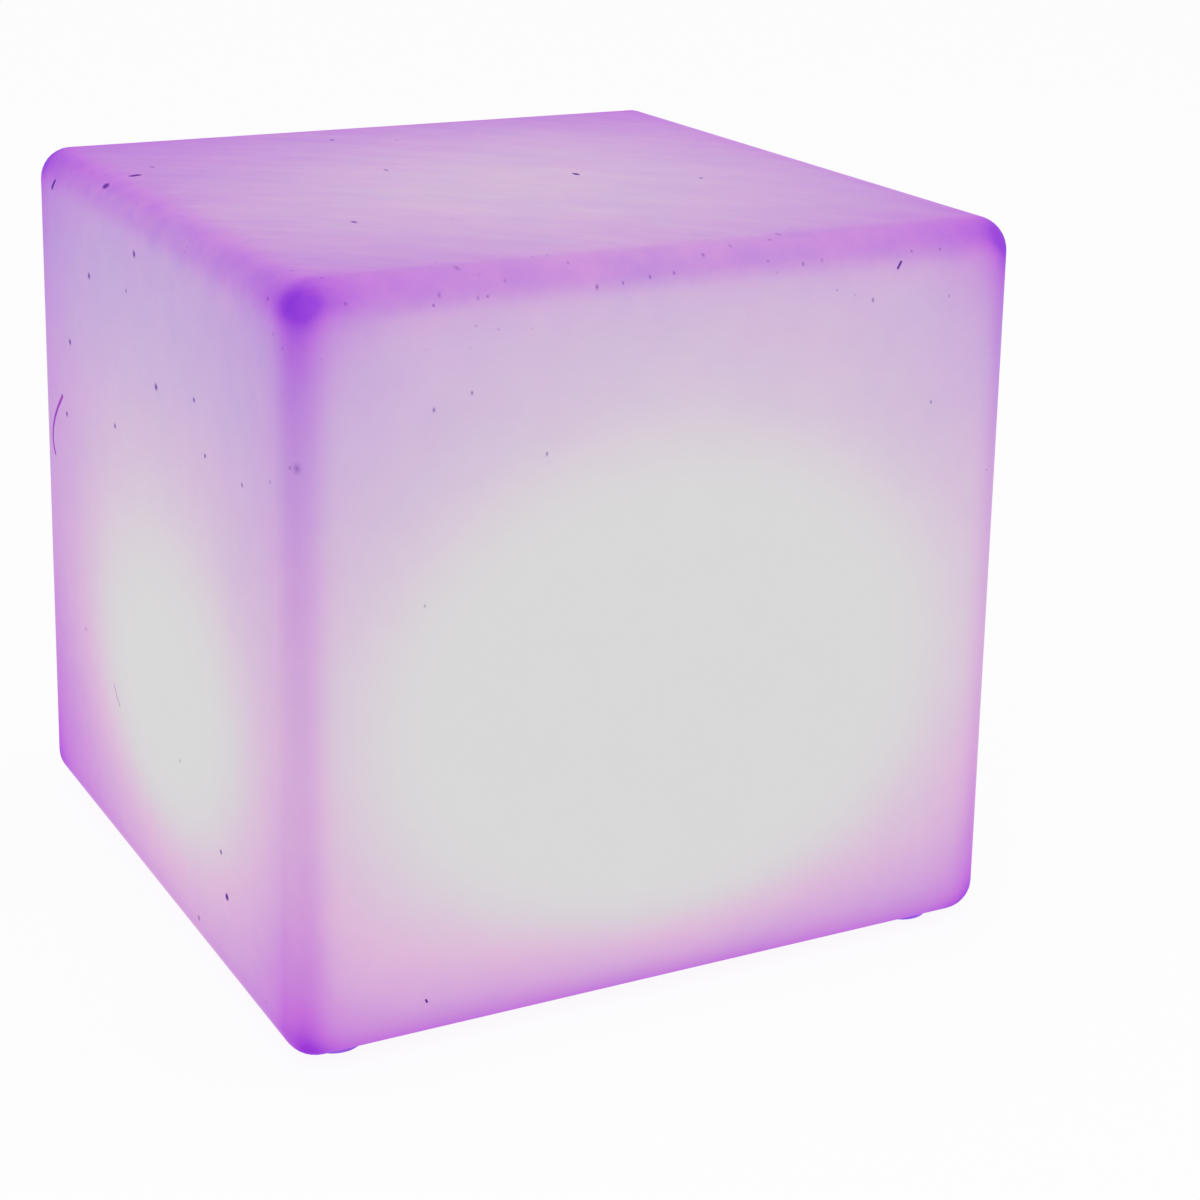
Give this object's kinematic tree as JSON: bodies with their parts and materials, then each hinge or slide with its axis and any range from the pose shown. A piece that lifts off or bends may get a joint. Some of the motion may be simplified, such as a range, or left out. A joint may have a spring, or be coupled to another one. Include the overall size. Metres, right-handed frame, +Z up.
{
  "type": "led cube light",
  "caption": "Rechargeable glowing cube light: hollow rounded shell on bumper feet with a screwed-in light engine, power button and capped charging port underneath.",
  "frame": {"origin": "on the surface the cube stands on, under the middle of the cube", "axes": "+Z up; the shell's flat sides face -X, +X, -Y and +Y; -Y is the wide face in the picture; the power button is on the -X side of the base cover and the charging port on its +X side"},
  "size_m": [0.3996, 0.3996, 0.386],
  "materials": {
    "shell_plastic": "translucent white polyethylene, satin, lit from inside",
    "foot_silicone": "translucent soft silicone, satin",
    "housing_plastic": "fine textured white ABS",
    "seal_silicone": "soft grey silicone",
    "insert_brass": "knurled brass",
    "screw_steel": "zinc plated steel",
    "dome_frost": "frosted polycarbonate",
    "board_white": "white solder mask",
    "board_green": "green solder mask",
    "emitter_resin": "clear resin over a yellowish die",
    "component_black": "black moulding compound",
    "tray_black": "black moulded tray",
    "cell_wrap": "plain shrink sleeve",
    "contact_nickel": "nickel plate",
    "button_white": "smooth white ABS",
    "jack_black": "black nylon",
    "wire_insulation": "coloured insulation"
  },
  "bodies": {
    "cube": {"cube_shell": "shell_plastic", "threaded_inserts": "insert_brass", "foot_front_left": "foot_silicone", "foot_front_right": "foot_silicone", "foot_back_left": "foot_silicone", "foot_back_right": "foot_silicone", "mounting_gasket": "seal_silicone", "flange_screws": "screw_steel", "engine_housing": "housing_plastic", "dome_diffuser": "dome_frost", "dome_seal": "seal_silicone", "dome_screws": "screw_steel", "lamp_board": "board_white", "emitters": "emitter_resin", "remote_receiver": "component_black", "lamp_board_screws": "screw_steel", "link_block": "component_black", "link_pins": "insert_brass", "battery_tray": "tray_black", "battery_cell_front": "cell_wrap", "battery_cell_back": "cell_wrap", "battery_terminals": "contact_nickel", "tray_screws": "screw_steel", "control_board": "board_green", "board_components": "component_black", "control_board_screws": "screw_steel", "base_cover": "housing_plastic", "cover_gasket": "seal_silicone", "cover_screws": "screw_steel", "button_seal": "seal_silicone", "switch_body": "component_black", "switch_board": "board_green", "switch_board_screws": "screw_steel", "charging_jack": "jack_black", "jack_centre_pin": "contact_nickel", "jack_nut": "screw_steel", "strap_anchor": "seal_silicone", "battery_leads": "wire_insulation", "jack_leads": "wire_insulation", "switch_leads": "wire_insulation"},
    "power_button": {"power_button": "button_white", "switch_plunger": "jack_black"},
    "port_cap": {"port_cap": "seal_silicone"}
  },
  "joints": [
    {"name": "power_button_press", "type": "slide", "parent": "cube", "child": "power_button", "axis": [0, 0, 1], "range_m": [0, 0.0008], "stiffness_N_per_m": 3000},
    {"name": "port_cap_hinge", "type": "hinge", "parent": "cube", "child": "port_cap", "pos_m": [0.005, 0, 0.0109], "axis": [0, 1, 0], "range_deg": [0, 100]}
  ]
}
